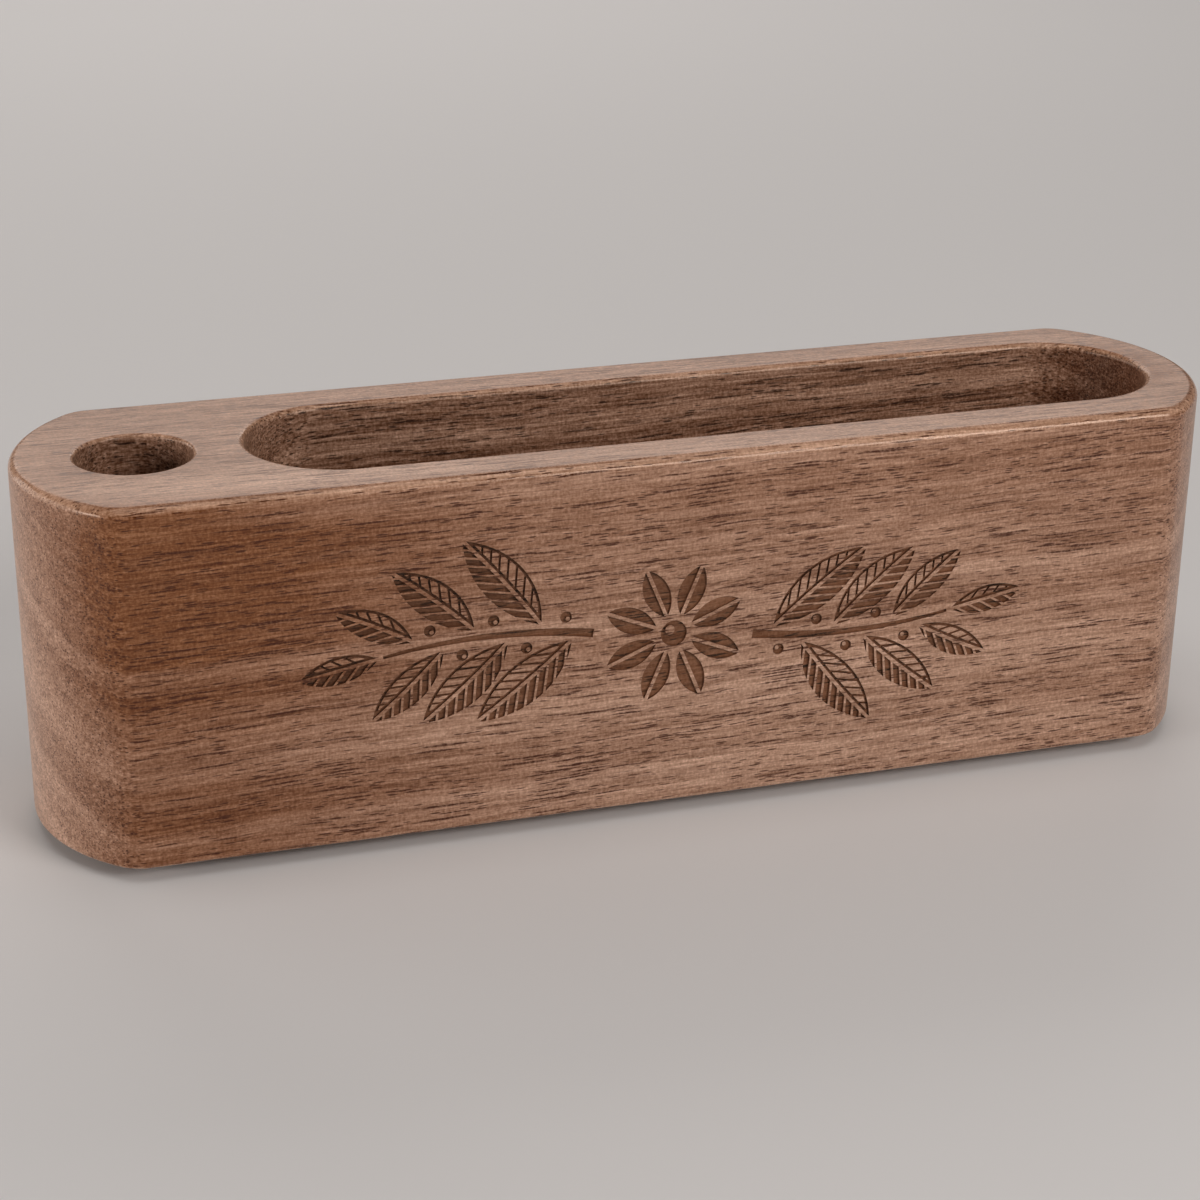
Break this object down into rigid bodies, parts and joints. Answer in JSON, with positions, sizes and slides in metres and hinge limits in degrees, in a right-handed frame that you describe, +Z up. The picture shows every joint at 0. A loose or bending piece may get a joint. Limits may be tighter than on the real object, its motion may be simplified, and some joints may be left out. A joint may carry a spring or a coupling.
{
  "type": "business card holder",
  "caption": "Desk holder milled from one walnut block: a long round-ended slot for a stack of business cards and an upright hole for a pen.",
  "frame": {"origin": "on the desk, below the centre of the holder's bounding box", "axes": "+X runs along the block away from the pen hole, -Y is the side of the broad front face that a visitor sees, +Z is up"},
  "size_m": [0.146, 0.036, 0.0453],
  "materials": {
    "walnut": "satin oiled walnut, straight grain along the length",
    "foot_rubber": "matte moulded",
    "adhesive": "double-sided film"
  },
  "bodies": {
    "root": {"walnut_block": "walnut", "foot_front_left": "foot_rubber", "foot_front_right": "foot_rubber", "foot_back_left": "foot_rubber", "foot_back_right": "foot_rubber", "adhesive_front_left": "adhesive", "adhesive_front_right": "adhesive", "adhesive_back_left": "adhesive", "adhesive_back_right": "adhesive"}
  },
  "joints": []
}
